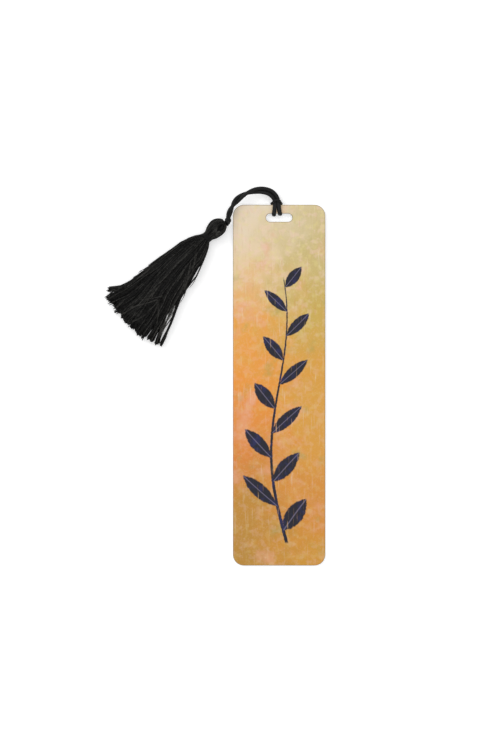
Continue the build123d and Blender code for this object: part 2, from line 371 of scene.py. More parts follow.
def printedCoat():
    b, w, s = boardSetup, washSetup, sprigSetup
    material, tree, shader = newMaterial("printedCoat", w["flat"], w["roughness"],
                                         {"Specular IOR Level": w["specular"]})
    face = mapped(addNode(tree, "TexCoord", "Object"), Scale=(1 / mm,) * 3)
    across, along = (addNode(tree, "SeparateXYZ", axis, {"Vector": face}) for axis in "XY")
    # Wash: two runs of colour mixed across the face, both pushed about by broad noise
    broad, finer = ((noise(face, scale, detail) - 0.5) * share
                    for scale, detail, share in (w["pushAlong"], w["pushAcross"]))
    height = along / b["length"] + 0.5 + broad
    sideways = fade(across / b["width"] + finer, *w["sideSoft"])
    colour = mixColour(sideways, ramp(height, w["leftSide"]), ramp(height, w["rightSide"]))
    for tone, offset, scale, low, high, share in w["patches"]:
        patches = noise(mapped(face, Location=offset), scale, w["patchDetail"])
        colour = glaze(colour, patches, low, high, share, w[tone])
    # Small pastel mottling, strongest in the pale upper part
    pale = calc("MAXIMUM", fade(height, *w["paleSoft"]), w["paleLeast"]) * w["mottleShare"]
    for tone, offset in w["mottling"]:
        spots = noise(mapped(face, Location=offset), *w["mottleNoise"])
        colour = glaze(colour, spots, *w["mottleSoft"], pale, w[tone])
    # Dry brush strokes, long and thin
    strokes = []
    for tone, turn, scale, detail, rough, low, high, share in w["strokes"]:
        strokePlace = mapped(face, Rotation=(0, 0, math.radians(turn)), Scale=scale)
        strokes.append(noise(strokePlace, 1.0, detail, rough))
        colour = glaze(colour, strokes[-1], low, high, share, w[tone])
    speckle = noise(face, *w["speckNoise"])
    colour = glaze(colour, speckle, *w["specks"], w["chalk"])
    # Leaves
    cover, vein = sprig(across, along, (noise(face, s["raggedScale"]) - 0.5) * s["ragged"])
    leafTone = mixColour(fade(noise(face, *s["toneNoise"]), *s["toneSoft"]), s["navy"], s["violet"])
    leafTone = mixColour(vein * s["veinShare"], leafTone, s["vein"])
    dry = fade(strokes[0], *s["drySoft"]) * s["dryShare"]
    colour = mixColour(cover * (1.0 - dry), colour, leafTone)
    # Painted shade in a thin line round the outline and the slot, standing for the bevelled edge
    outer = outlineGap(across, along, b["width"] / 2, b["length"] / 2, b["corner"])
    slotEnd = b["slotWidth"] / 2
    inner = outlineGap(across, along - b["slotY"], b["slotLength"] / 2, slotEnd, slotEnd)
    rim = calc("MAXIMUM", outer, inner * -1.0) + (speckle - 0.5) * w["rimShadeRough"]
    colour = glaze(colour, rim, *w["rimShade"], w["edge"])
    gloss = spreadOut(noise(face, w["glossScale"]), *w["gloss"])
    dressShader(shader, colour, gloss, noise(face, *w["reliefNoise"]), w["bump"])
    return material


def dressNode(name, material):
    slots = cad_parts[name].data.materials
    slots.clear()
    slots.append(material)


dressNode("board_core", brushedMetal())
dressNode("front_print_coat", printedCoat())
print("board dressed")

# Cord and yarn finishes

cordLook = {
    "tone": paint(20, 20, 21), "dark": paint(7, 7, 8), "light": paint(28, 28, 28),
    "fibreTurn": 0.6, "fibreScale": (2.2, 30, 1), "fibreNoise": (1.0, 3.0, 0.6),
    "roughness": 0.46, "satin": (0.36, 0.58), "bump": (0.35, 0.06),
    "sheen": {"Specular IOR Level": 0.12, "Sheen Weight": 0.02, "Sheen Roughness": 0.4},
}
yarnLook = {
    # Dark tone, tone of the painted highlights, roughness
    "silkYarn": (paint(3, 3, 3), paint(68, 67, 64), 0.34),
    "waxedThread": (paint(9, 9, 10), paint(30, 30, 30), 0.45),
    "fibreGlintScale": 1300.0, "glintSoft": (0.36, 0.64), "glint": (0.3, 1.7), "bump": (0.2, 0.03),
    "smoother": 0.08, "rougher": 0.1,
    "sheen": {"Specular IOR Level": 0.07, "Sheen Weight": 0.006, "Sheen Roughness": 0.35},
}


def cordFinish():
    k = cordLook
    material, tree, shader = newMaterial("blackCord", k["tone"], k["roughness"], k["sheen"])
    place = addNode(tree, "UVMap", "UV")
    fibres = mapped(place, Rotation=(0, 0, k["fibreTurn"]), Scale=k["fibreScale"])
    strands = noise(fibres, *k["fibreNoise"])
    tint = mixColour(strands, k["dark"], k["light"])
    dressShader(shader, tint, spreadOut(strands, *k["satin"]), strands, k["bump"])
    return material


def yarnFinish(name):
    k = yarnLook
    dark, light, roughness = k[name]
    material, tree, shader = newMaterial(name, dark, roughness, k["sheen"])
    # Painted highlights: the shade attribute, broken up by a fine fibre noise, mixes the dark tone towards
    # the light one in short glints along each thread; the same noise gives the fibre relief
    shade = addNode(tree, "Attribute", "Fac", attribute_name="shade")
    fibreGlint = noise(addNode(tree, "TexCoord", "Object"), k["fibreGlintScale"])
    tone = shade * spreadOut(fibreGlint, *k["glint"], *k["glintSoft"])
    satin = spreadOut(tone, roughness - k["smoother"], roughness + k["rougher"])
    dressShader(shader, mixColour(tone, dark, light), satin, fibreGlint, k["bump"])
    return material


blackCord = cordFinish()
silkYarn = yarnFinish("silkYarn")
waxedThread = yarnFinish("waxedThread")


def splinePoints(route, closed=False, steps=14):
    # Smooth line through a route's control points, read back from its NURBS spline
    curve = bpy.data.curves.new("route", "CURVE")
    curve.dimensions = "3D"
    curve.resolution_u = steps
    spline = curve.splines.new("NURBS")
    spline.points.add(len(route) - 1)
    for point, place in zip(spline.points, route):
        point.co = (*place, 1)
    spline.use_cyclic_u = closed
    spline.order_u = 3
    spline.use_endpoint_u = not closed
    holder = bpy.data.objects.new("route", curve)
    line = bpy.data.meshes.new_from_object(holder)
    points = np.array([vertex.co for vertex in line.vertices])
    bpy.data.objects.remove(holder)
    bpy.data.meshes.remove(line)
    bpy.data.curves.remove(curve)
    return points


def unit(rows):
    return rows / np.linalg.norm(rows, axis=-1, keepdims=True)


def runAlong(line):
    # Length of the line up to each of its points
    return np.concatenate(([0.0], np.cumsum(np.linalg.norm(np.diff(line, axis=0), axis=1))))


braidSetup = {"pick": 1.25, "relief": 0.035, "ridges": 4}


def braidedTube(name, line, radius, sides=20, closed=False, squeeze=None):
    # Rings square to the line, carried along without turning, with the low relief of a braid
    ahead = np.roll(line, -1, 0) - np.roll(line, 1, 0)
    if not closed:
        ahead[0], ahead[-1] = line[1] - line[0], line[-1] - line[-2]
    ahead = unit(ahead)
    beside = np.zeros_like(line)
    beside[0] = np.cross(ahead[0], (0.1, 0.2, 1.0))  # any start that isn't along the line
    for index in range(len(line)):
        carried = beside[max(index - 1, 0)]
        beside[index] = unit(carried - ahead[index] * carried.dot(ahead[index]))
    above = np.cross(ahead, beside)
    run = runAlong(line)
    steps = np.diff(run)
    turn = np.arange(sides) * 2 * np.pi / sides
    wave = run[:, None] * 2 * np.pi / (braidSetup["pick"] * mm)
    ridges = braidSetup["ridges"] * turn
    bumps = np.cos(ridges + wave) * np.cos(ridges - wave)
    reach = np.broadcast_to(np.asarray(radius), (len(line),))[:, None] * (1 + braidSetup["relief"] * bumps)
    rounds = np.cos(turn)[:, None] * beside[:, None] + np.sin(turn)[:, None] * above[:, None]
    offsets = reach[:, :, None] * rounds
    if squeeze is not None:
        offsets = squeeze(line, ahead, offsets)
    places = (line[:, None] + offsets).reshape(-1, 3)
    faces, corners = [], []
    for ring in range(len(line) if closed else len(line) - 1):
        low, high = ring * sides, (ring + 1) % len(line) * sides
        near, far = run[ring] / mm, (run[ring] + steps[min(ring, len(steps) - 1)]) / mm
        for k in range(sides):
            nextK = (k + 1) % sides
            faces.append((low + k, low + nextK, high + nextK, high + k))
            corners += [(near, k / sides), (near, (k + 1) / sides), (far, (k + 1) / sides), (far, k / sides)]
    if not closed:
        last = (len(line) - 1) * sides
        faces += [tuple(reversed(range(sides))), tuple(range(last, last + sides))]
        corners += [(0.0, k / sides) for k in range(2 * sides)]
    mesh = bpy.data.meshes.new(name)
    mesh.from_pydata(places.tolist(), [], faces)
    layer = mesh.uv_layers.new(name="UVMap")
    layer.data.foreach_set("uv", np.array(corners, dtype=np.float32).ravel())
    return addPiece(name, mesh, blackCord)


# Doubled cord: one length, from the knot over the arc, round the strip and back to the knot

cordSetup = {
    "thick": 1.5, "hitchX": -1.1, "frontZ": 1.7, "backZ": -0.7, "overZ": 2.98, "topY": 74.25,
    "edgeY": 74.95, "passY": 69.98, "nearY": 71.2, "length": 90.0,
    "knot": (-20.95, 67.95, 3.0), "blendFrom": (-2.0, 77.3, 1.9), "blendTo": (-12.1, 82.95, 1.9),
    # Pulled flat on the strip and narrow inside the slot
    "flatBelowY": 76.2, "flatEase": 0.8, "hitchLeft": -8.0, "flatten": 0.42, "widen": 0.17,
    "slotBelowY": 71.5, "slotBackZ": -0.45, "slotThinZ": 1.62, "slotNarrowZ": 1.38, "slotEase": 0.3,
    "slotFlatten": 0.72, "slotWiden": -0.38,
    "bight": (-0.92, 76.0, 2.98), "bightThin": 0.30, "bightReach": 3.6, "bightEase": 1.2,
    "knotThin": 0.22, "knotFull": 1.4, "knotEase": 2.6,
    # Softer and fuller near the hitch, drawn thin towards the knot: place across, share of the thickness
    "fullness": [(-21.0, 0.92), (-18.0, 0.95), (-14.0, 1.0), (-9.0, 1.07), (-3.0, 1.10)], "fullAboveY": 69.0,
}
c = cordSetup
topY, edgeY, passY, nearY = (c[key] for key in ("topY", "edgeY", "passY", "nearY"))
frontZ, backZ, overZ = (c[key] for key in ("frontZ", "backZ", "overZ"))
hitchRoute = [
    (-1.02, topY + 2.15, frontZ + 0.12), (-0.68, topY + 1.22, frontZ), (-0.68, topY - 0.90, frontZ - 0.05),
    (-0.98, nearY, frontZ - 0.08), (-1.12, passY, frontZ - 0.08), (-0.84, passY - 0.05, 0.5),
    (-0.95, passY - 0.12, backZ + 0.08), (-1.16, nearY, backZ + 0.05), (-1.30, topY - 0.70, backZ),
    (-1.56, edgeY + 0.02, backZ), (-1.80, edgeY - 0.12, overZ - 1.90), (-1.28, edgeY + 0.36, overZ - 0.50),
    (-0.60, topY + 1.70, overZ), (0.95, topY + 1.85, overZ),
    (1.48, edgeY + 0.52, overZ - 0.50), (1.74, edgeY - 0.04, overZ - 1.90), (1.66, edgeY + 0.06, backZ),
    (1.64, topY - 0.70, backZ), (1.54, nearY, backZ + 0.05), (1.50, passY + 0.20, backZ + 0.08),
    (1.44, passY + 0.36, 0.5), (1.46, passY + 0.42, frontZ - 0.08), (1.30, nearY, frontZ - 0.08),
    (0.93, topY - 0.80, frontZ - 0.05), (0.80, topY + 1.48, frontZ), (0.44, topY + 2.75, frontZ + 0.12),
]
# Middle line of the pair from the hitch to the knot, how far it has turned and how far apart it is
pairRoute = [
    (-1.06, 3.76, 0.26, 0, 1.62), (-2.66, 5.1, 0.45, 4, 1.64), (-4.88, 5.78, 0.62, 12, 1.6),
    (-7.4, 5.9, 0.8, 30, 1.56), (-9.8, 5.5, 0.92, 58, 1.54), (-12.05, 4.74, 1.02, 92, 1.5),
    (-14.1, 3.63, 1.08, 130, 1.48), (-15.9, 2.25, 1.12, 178, 1.44), (-17.3, 0.7, 1.15, 228, 1.44),
    (-18.35, -1.0, 1.18, 282, 1.42), (-19.1, -2.75, 1.25, 330, 1.26), (-19.62, -4.3, 1.3, 360, 1.1),
    (-19.98, -6.2, 1.3, 380, 0.5),
]


def strandRoute(side):
    middles = [Vector((c["hitchX"] + row[0], topY + row[1], frontZ + row[2])) for row in pairRoute]
    points = []
    for index, (place, row) in enumerate(zip(middles, pairRoute)):
        ahead = middles[min(index + 1, len(middles) - 1)] - middles[max(index - 1, 0)]
        across = Vector((ahead.y, -ahead.x, 0)).normalized()
        lean = math.radians(row[3])
        points.append(place + (across * math.cos(lean) + Vector((0, 0, math.sin(lean)))) * side * row[4] / 2)
    return points


def pressFlat(line, ahead, offsets):
    # The cord is pulled flat where it bears on the strip
    x, y, z = line.T / mm
    onStrip = np.clip((c["flatBelowY"] - y) / c["flatEase"], 0, 1) * (x > c["hitchLeft"])
    onStrip = onStrip * (1 - np.abs(ahead[:, 0])) ** 2
    # and narrow inside the slot, so that its rounded end leaves room for the slide
    fromBack = np.clip((z - c["slotBackZ"]) / c["slotEase"], 0, 1) * (y < c["slotBelowY"])
    thinner = np.clip((c["slotThinZ"] - z) / c["slotEase"], 0, 1) * fromBack
    narrower = np.clip((c["slotNarrowZ"] - z) / c["slotEase"], 0, 1) * fromBack
    flatten = onStrip * (c["flatten"] + (c["slotFlatten"] - c["flatten"]) * thinner)
    widen = onStrip * (c["widen"] + (c["slotWiden"] - c["widen"]) * narrower)
    thin = unit(np.cross(ahead, (1.0, 0.0, 1e-6)))  # not zero, also where the cord runs straight across
    inward = np.einsum("rsk,rk->rs", offsets, thin)
    offsets = offsets - flatten[:, None, None] * inward[:, :, None] * thin[:, None]
    offsets[:, :, 0] *= 1 + widen[:, None]
    return offsets


loopRoute = strandRoute(-1)[::-1]
loopRoute += [Vector((c["hitchX"] + x, y, z)) for x, y, z in hitchRoute]
loopRoute += strandRoute(1)
cordLine = splinePoints([place * mm for place in loopRoute])
lineX, lineY = cordLine.T[:2] / mm
cordRun = runAlong(cordLine) / mm
bightAt = cordRun[np.argmin(np.linalg.norm(cordLine / mm - c["bight"], axis=1))]
overBight = np.clip((c["bightReach"] - np.abs(cordRun - bightAt)) / c["bightEase"], 0, 1)
fromKnot = np.linalg.norm(cordLine / mm - c["knot"], axis=1)
byKnot = np.clip(c["knotFull"] - fromKnot / c["knotEase"], 0, 1)
fullFrom = np.where(lineX < c["hitchLeft"], c["fullAboveY"], c["flatBelowY"])
fullness = np.interp(lineX, *zip(*c["fullness"]))
fullness = 1 + (fullness - 1) * np.clip((lineY - fullFrom) / c["flatEase"], 0, 1)
cordRadius = c["thick"] / 2 * mm * fullness * (1 - c["bightThin"] * overBight) * (1 - c["knotThin"] * byKnot)
hitchedCord = braidedTube("hitched_cord", cordLine, cordRadius, squeeze=pressFlat)
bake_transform(hitchedCord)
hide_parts("cord_hitch", "cord_twist")
print("cord laid,", round(cordRun[-1], 1), "mm")

# Knot: a small overhand knot and the cut end that shows under it

knotSetup = {
    "size": 0.29, "rise": 0.58, "thick": 1.34, "points": 18, "steps": 8,
    "shift": (-0.10, -0.46, 0.0), "stretch": (0.88, 1.18), "cutBend": (0.1, -1.0, -0.3),
    "cutEnd": (-0.30, -2.02, -0.4), "cutThick": 0.85, "cutSides": 14, "cutSteps": 10,
}

k = knotSetup
knotAt = Vector(c["knot"])
knotMiddle = knotAt + Vector(k["shift"])
knotRoute = []
for index in range(k["points"]):
    turn = 2 * math.pi * index / k["points"]
    x = (math.sin(turn) + 2 * math.sin(2 * turn)) * k["size"] * k["stretch"][0]
    y = (math.cos(turn) - 2 * math.cos(2 * turn)) * k["size"] * k["stretch"][1]
    knotRoute.append((knotMiddle + Vector((x, y, -math.sin(3 * turn) * k["rise"]))) * mm)
knotLine = splinePoints(knotRoute, closed=True, steps=k["steps"])
knot = braidedTube("overhand_knot", knotLine, k["thick"] / 2 * mm, closed=True)
cutRoute = [knotMiddle * mm]
cutRoute += [(knotMiddle + Vector(k[part])) * mm for part in ("cutBend", "cutEnd")]
cutLine = splinePoints(cutRoute, steps=k["cutSteps"])
cutEnd = braidedTube("cut_end", cutLine, k["cutThick"] / 2 * mm, sides=k["cutSides"])
for piece in (knot, cutEnd):
    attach(piece, "knot")
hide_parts("cord_knot")
print("knot tied")

# Tail: the two ends that run from the knot into the tassel's head

tailSetup = {
    "from": 0.7, "to": 4.4, "shares": (0, 0.35, 0.7, 1), "apart": 0.55, "twist": 2.2, "aside": 0.22,
    "thick": 0.85, "sides": 14, "heading": 218.0, "dip": 5.0,
}

t = tailSetup
headAlong = heading(t["heading"], t["dip"])
headSide = heading(t["heading"] - 90)
headUp = headSide.cross(headAlong)
tailEnds = []
for side in (-1, 1):
    tailRoute = []
    for share in t["shares"]:
        along = t["from"] + (t["to"] - t["from"]) * share
        sway = side * t["apart"] / 2 * math.cos(t["twist"] * share) - t["aside"] * (1 - share)
        lift = side * t["apart"] / 2 * math.sin(t["twist"] * share)
        tailRoute.append((knotAt + headAlong * along + headSide * sway + headUp * lift) * mm)
    tailLine = splinePoints(tailRoute)
    tailEnds.append(braidedTube("tail_end", tailLine, t["thick"] / 2 * mm, sides=t["sides"]))
deselectAll()
for piece in tailEnds:
    piece.select_set(True)
bpy.context.view_layer.objects.active = tailEnds[0]
bpy.ops.object.join()
tail = bpy.context.object
tail.name = "cord_tail_ends"
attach(tail, "tassel")
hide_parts("cord_tail")
print("tail in place")


def modelThread(stations, sides):
    # One thread drawn out step by step, to be bent along a path
    deselectAll()
    bpy.ops.mesh.primitive_circle_add(vertices=sides, radius=1, fill_type="NGON")
    thread = bpy.context.object
    bpy.ops.object.mode_set(mode="EDIT")
    bpy.ops.mesh.select_all(action="SELECT")
    for step in range(stations - 1):
        bpy.ops.mesh.extrude_region_move(TRANSFORM_OT_translate={"value": (0, 0, 1)})
    faceOutwards()
    points = np.array([vertex.co for vertex in thread.data.vertices])
    return thread, points, np.rint(points[:, 2]).astype(int)


def threadBundle(name, paths, radii, shades, sides, material):
    # Copies of one thread, each bent along its own path
    count, stations = paths.shape[:2]
    thread, points, station = modelThread(stations, sides)
    ahead = unit(np.gradient(paths, axis=1))
    beside = np.zeros_like(paths)
    leastAxis = np.eye(3)[np.argmin(np.abs(ahead[:, 0]), axis=1)]
    beside[:, 0] = np.cross(ahead[:, 0], leastAxis)
    for step in range(stations):
        carried = beside[:, max(step - 1, 0)]
        carried = carried - ahead[:, step] * np.sum(carried * ahead[:, step], axis=1, keepdims=True)
        beside[:, step] = unit(carried)
    above = np.cross(ahead, beside)
    ring = points[None, :, :1] * beside[:, station] + points[None, :, 1:2] * above[:, station]
    places = paths[:, station] + radii[:, station, None] * ring
    faces = []
    for copy in range(count):
        first = copy * len(points)
        faces += [[first + corner for corner in face.vertices] for face in thread.data.polygons]
    mesh = bpy.data.meshes.new(name)
    mesh.from_pydata(places.reshape(-1, 3).tolist(), [], faces)
    layer = mesh.attributes.new("shade", "FLOAT", "POINT")
    tones = np.broadcast_to(shades.reshape(count, -1), (count, stations))[:, station]
    layer.data.foreach_set("value", tones.astype(np.float32).ravel())
    bpy.data.objects.remove(thread)
    return addPiece(name, mesh, material)


# Tassel head: yarn folded over the cord, parted round the eye

headSetup = {
    # Distance from the knot, radius, and how far the middle lies to the near side
    "profile": [(2.6, 0.5, -0.1), (1.95, 0.75, -0.2), (1.74, 1.1, -0.28), (1.98, 1.66, -0.28),
                (2.5, 2.26, -0.28), (2.95, 2.62, -0.28), (3.4, 2.92, -0.28), (4.0, 3.22, -0.28),
                (4.65, 3.42, -0.3), (5.3, 3.53, -0.31), (6.4, 3.52, -0.28), (7.6, 3.3, -0.17),
                (8.8, 2.94, -0.06), (9.6, 2.56, 0.04), (10.3, 2.22, 0.12), (12.4, 1.8, 0.26)],
    "yarns": 132, "yarnThick": 0.34, "sides": 4, "seed": 11,
    "uneven": 0.018, "wander": 0.03, "wanderTurn": 3, "slant": 0.01, "sunk": 0.10, "sunkUneven": 0.05,
    # Yarns are thinner where the head is narrow
    "thinLeast": 0.55, "thinAxis": 0.5, "thinOver": 6,
    "eyeAlong": 4.25, "eyeTurn": -0.40, "eyeLong": 1.65, "eyeWide": 1.3, "eyeReach": 2.7,
    "eyeEase": (0.1, 0.2, 0.4, 0.2, 0.1), "foldRows": 10,
    # Painted highlights: a random amount on each yarn, mostly little, and more on the yarns that close up
    # beyond the eye, left out along a line in its middle that stays dark
    "yarnLight": 0.55, "mostlyDark": 2.5,
    "glow": 0.9, "glowAlong": 6.5, "glowLong": 1.0, "glowWide": 1.5, "glowLine": 0.4,
    "coreIn": 0.34, "coreSides": 64, "coreFold": 0.3, "dent": 0.9, "dentLong": 1.1, "dentTurn": 0.28,
}


def headPlace(along, radius, turn, shift):
    # Place on the head: distance along its axis, radius, turn from the top and shift to the near side
    knotRow, alongRow, sideRow, upRow = (np.array(row) for row in (knotAt, headAlong, headSide, headUp))
    along, radius, turn, shift = (np.asarray(part)[..., None] for part in (along, radius, turn, shift))
    sideways = (radius * np.sin(turn) - shift) * sideRow
    return (knotRow + along * alongRow + sideways + radius * np.cos(turn) * upRow) * mm


def refined(rows):
    # Smooth rows half-way between the given ones
    padded = np.vstack([rows[:1], rows, rows[-1:]])
    made = np.empty((2 * len(rows) - 1, rows.shape[1]))
    made[::2] = rows
    made[1::2] = (9 * (padded[1:-2] + padded[2:-1]) - padded[:-3] - padded[3:]) / 16
    return made


def turnFrom(turn, middle):
    # Angle from a middle line, at most half a turn either way
    return (turn - middle + np.pi) % (2 * np.pi) - np.pi


h = headSetup
chance = np.random.default_rng(h["seed"])
profile = refined(refined(np.array(h["profile"])))
alongHead, headRadius, headShift = profile.T
turns = np.linspace(0, 2 * np.pi, h["yarns"], endpoint=False) + chance.normal(0, h["uneven"], h["yarns"])
sway = chance.normal(0, h["wander"], (h["yarns"], 1)) * np.sin(np.linspace(0, h["wanderTurn"], len(profile)))
turns = turns[:, None] + sway + h["slant"] * alongHead
opening = np.sqrt(np.clip(1 - ((alongHead - h["eyeAlong"]) / h["eyeLong"]) ** 2, 0, 1))
opening = opening * (np.arange(len(profile)) > h["foldRows"])
opening = h["eyeWide"] * np.convolve(opening, h["eyeEase"], "same")
atEye = np.argmin(np.abs(alongHead - h["eyeAlong"]))
eyeTurns = (h["eyeTurn"], np.pi - h["eyeTurn"])  # one eye in front, one at the back
for eyeTurn in eyeTurns:
    # The yarns step aside round an oval, each on its own side, and close up again beyond it
    apart = turnFrom(turns, eyeTurn)
    side = np.where(apart[:, atEye] < 0, -1, 1)[:, None]
    beside = side * apart * headRadius
    moved = opening + beside * (1 - opening / h["eyeReach"] * (beside > 0))
    moved = np.where(np.abs(beside) < h["eyeReach"], moved, beside)
    turns = turns + side * (moved - beside) / headRadius
lift = chance.normal(0, h["sunkUneven"], (h["yarns"], 1)) - h["sunk"]
headPaths = headPlace(alongHead, headRadius + lift, turns, headShift)
thinner = np.clip(h["thinAxis"] + headRadius / h["thinOver"], h["thinLeast"], 1)
headRadii = np.broadcast_to(h["yarnThick"] / 2 * mm * thinner, turns.shape)
# Painted highlight on both sides of the eye's line beyond the eye, and a random painted highlight on every
# yarn
fromLine = turnFrom(turns, h["eyeTurn"]) * headRadius
glow = np.exp(-((alongHead - h["glowAlong"]) / h["glowLong"]) ** 2 - (fromLine / h["glowWide"]) ** 2)
glow = h["glow"] * glow * (1 - np.exp(-(fromLine / h["glowLine"]) ** 2))
headShades = chance.random((h["yarns"], 1)) ** h["mostlyDark"] * h["yarnLight"] + glow
headYarn = threadBundle("head_yarn", headPaths, headRadii, headShades, h["sides"], silkYarn)

# Core under the yarn: a turned profile with the eyes pressed into it
headCore, corePoints, coreStep = modelThread(len(profile), h["coreSides"])
headCore.name = "head_core"
coreTurn = np.arctan2(corePoints[:, 0], corePoints[:, 1])
coreAlong, coreRadius, coreShift = profile[coreStep].T
coreRadius = coreRadius - h["coreIn"]
for eyeTurn in eyeTurns:
    beside = turnFrom(coreTurn, eyeTurn) / h["dentTurn"]
    onward = (coreAlong - h["eyeAlong"]) / h["dentLong"]
    coreRadius = coreRadius - h["dent"] * np.exp(-onward ** 2 - beside ** 2)
coreAlong = coreAlong + np.where(coreStep < h["foldRows"], h["coreFold"], 0.0)
corePlaces = headPlace(coreAlong, coreRadius, coreTurn, coreShift)
headCore.data.vertices.foreach_set("co", corePlaces.astype(np.float32).ravel())
headCore.data.update()
faceOutwards()
headCore.data.shade_smooth()
headCore.data.materials.append(silkYarn)
for piece in (headYarn, headCore):
    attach(piece, "tassel")
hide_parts("tassel_head")
print("tassel head made")

# Thread wound round the neck

neckSetup = {
    "start": 10.36, "turns": 7, "pitch": 0.26, "thread": 0.32, "radius": 2.16, "aside": 0.18,
    "ringSteps": 40, "sides": 8, "shade": 0.5,
}

n = neckSetup
deselectAll()
bpy.ops.mesh.primitive_circle_add(vertices=n["sides"], radius=n["thread"] / 2 * mm,
                                  location=(n["radius"] * mm, 0, 0), rotation=(math.pi / 2, 0, 0))
winding = bpy.context.object
winding.name = "neck_winding"
bpy.ops.object.transform_apply()
screw = winding.modifiers.new("turns", "SCREW")
screw.axis = "Z"
screw.angle = 2 * math.pi
screw.iterations = n["turns"]
screw.screw_offset = n["pitch"] * mm
screw.steps = screw.render_steps = n["ringSteps"]
screw.use_normal_calculate = True
bpy.ops.object.modifier_apply(modifier="turns")
winding.location = (knotAt + headAlong * n["start"] - headSide * n["aside"]) * mm
winding.rotation_mode = "QUATERNION"
winding.rotation_quaternion = headAlong.to_track_quat("Z", "Y")
bpy.ops.object.transform_apply()
bpy.ops.object.mode_set(mode="EDIT")
bpy.ops.mesh.select_all(action="SELECT")
bpy.ops.mesh.fill_holes(sides=n["sides"])
faceOutwards()
winding.data.shade_smooth()
# An even share of painted highlight, broken into glints by the yarn finish
windingShade = winding.data.attributes.new("shade", "FLOAT", "POINT")
windingShade.data.foreach_set("value", np.full(len(winding.data.vertices), n["shade"], dtype=np.float32))
winding.data.materials.append(waxedThread)
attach(winding, "tassel")
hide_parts("neck_binding")
print("neck wound")

# Skirt of loose threads, laid out along its own heading from the neck

skirtSetup = {
    "neck": (-30.61, 60.40), "heading": 227.6, "threads": 2200, "sides": 4, "seed": 5,
    "thick": 0.34, "thickUneven": (0.75, 1.15), "rootThick": 0.55, "fullThickBy": 30, "thin": 0.6,
    # Stations along a thread, the last one at its end, wherever that is
    "stations": (-1.3, 0.2, 1.6, 4.0, 8.0, 10.5, 14.0, 17.5, 21.0, 24.5,
                 28.0, 31.5, 35.0, 38.0, 41.0, 43.5, 1e9), "leastStep": 0.05,
    # Distance from the neck, half width, half thickness, height of the middle and its shift to the near side
    "sections": [(-1.3, 1.75, 1.55, 1.95, 0.05), (0.0, 2.4, 1.85, 1.9, 0.1), (2.5, 4.28, 2.45, 1.8, 0.0),
                 (8.0, 6.3, 2.8, 1.8, -0.05), (10.5, 6.5, 2.83, 1.8, -0.25), (14.0, 7.25, 2.85, 1.8, -0.3),
                 (17.0, 7.9, 2.85, 1.8, -0.2), (20.0, 8.5, 2.85, 1.8, -0.02), (24.0, 9.2, 2.82, 1.78, 0.05),
                 (28.0, 10.15, 2.78, 1.74, 0.25), (32.0, 11.45, 2.72, 1.68, 0.95),
                 (35.0, 12.25, 2.62, 1.58, 1.2), (38.0, 13.25, 2.52, 1.48, 1.35),
                 (41.0, 14.5, 2.4, 1.36, 1.2), (43.0, 14.95, 2.3, 1.28, 1.2), (48.5, 16.0, 2.1, 1.08, 1.5)],
    # Share of the half width, and distance of the hem from the neck
    "hemLine": [(-1.0, 42.2), (-0.91, 42.7), (-0.9, 43.7), (-0.8, 44.8), (-0.5, 45.9), (-0.1, 46.8),
                (0.25, 47.1), (0.45, 46.6), (0.6, 46.0), (0.75, 45.4), (0.9, 44.6), (1.0, 44.3)],
    "hem": 47.1, "hemUneven": 0.20, "lockUneven": 0.26, "teeth": 36, "toothUneven": 0.36,
    "locks": 84, "lockFlat": 0.3, "gatherFrom": 12.0, "gather": 0.16, "gatherUneven": (0.7, 1.0),
    "gatherCurve": 0.8, "drifting": 0.22, "drift": 0.24, "driftLeast": -0.97, "driftMost": 1.1,
    "driftCurve": 1.3,
    # Locks that splay out: share across from and to, where they leave, their place and spread at the hem
    "partings": [(-1.01, -0.90, 38.0, -14.7, 0.55), (0.46, 0.53, 38.0, 8.8, 0.22),
                 (0.53, 0.68, 38.5, 10.6, 0.26), (0.68, 0.81, 38.0, 12.3, 0.26),
                 (0.81, 0.93, 37.5, 14.4, 0.30), (0.93, 1.01, 28.5, 16.2, 0.25)],
    "leaveEarly": (0.0, 2.2), "splay": 0.85,
    # Right edge of the threads that stay together: where it starts, its place, its slope and how soft it is
    "pressFrom": 25.0, "pressTo": 29.0, "pressEdge": 9.3, "pressSlope": 0.07, "pressSoft": 0.8,
    # Slow bends, wider towards the hem
    "bend": 0.36, "bendUneven": (0.3, 1.2), "bendLength": (13, 30), "bendFullBy": 30, "bendMost": 1.3,
    "looseBend": 0.1, "partedBend": 0.5,
    # Hairs along the far edge and loose threads along the near one
    "edgeLayer": (-0.5, 0.4), "edgeHairs": 70, "hairAcross": (0.90, 1.0), "hairEnd": (20, 43),
    "hairOut": (0.2, 0.9), "hairFlare": 9, "looseThreads": 10, "looseAcross": (0.96, 1.0),
    "looseOut": (1.1, 1.45), "looseFrom": 8.0, "looseLong": 11.0,
    # A share of the threads is painted lighter, as highlights along them
    "glintThreads": 0.2, "glintShade": (0.25, 0.75), "darkShade": (0.0, 0.16),
}
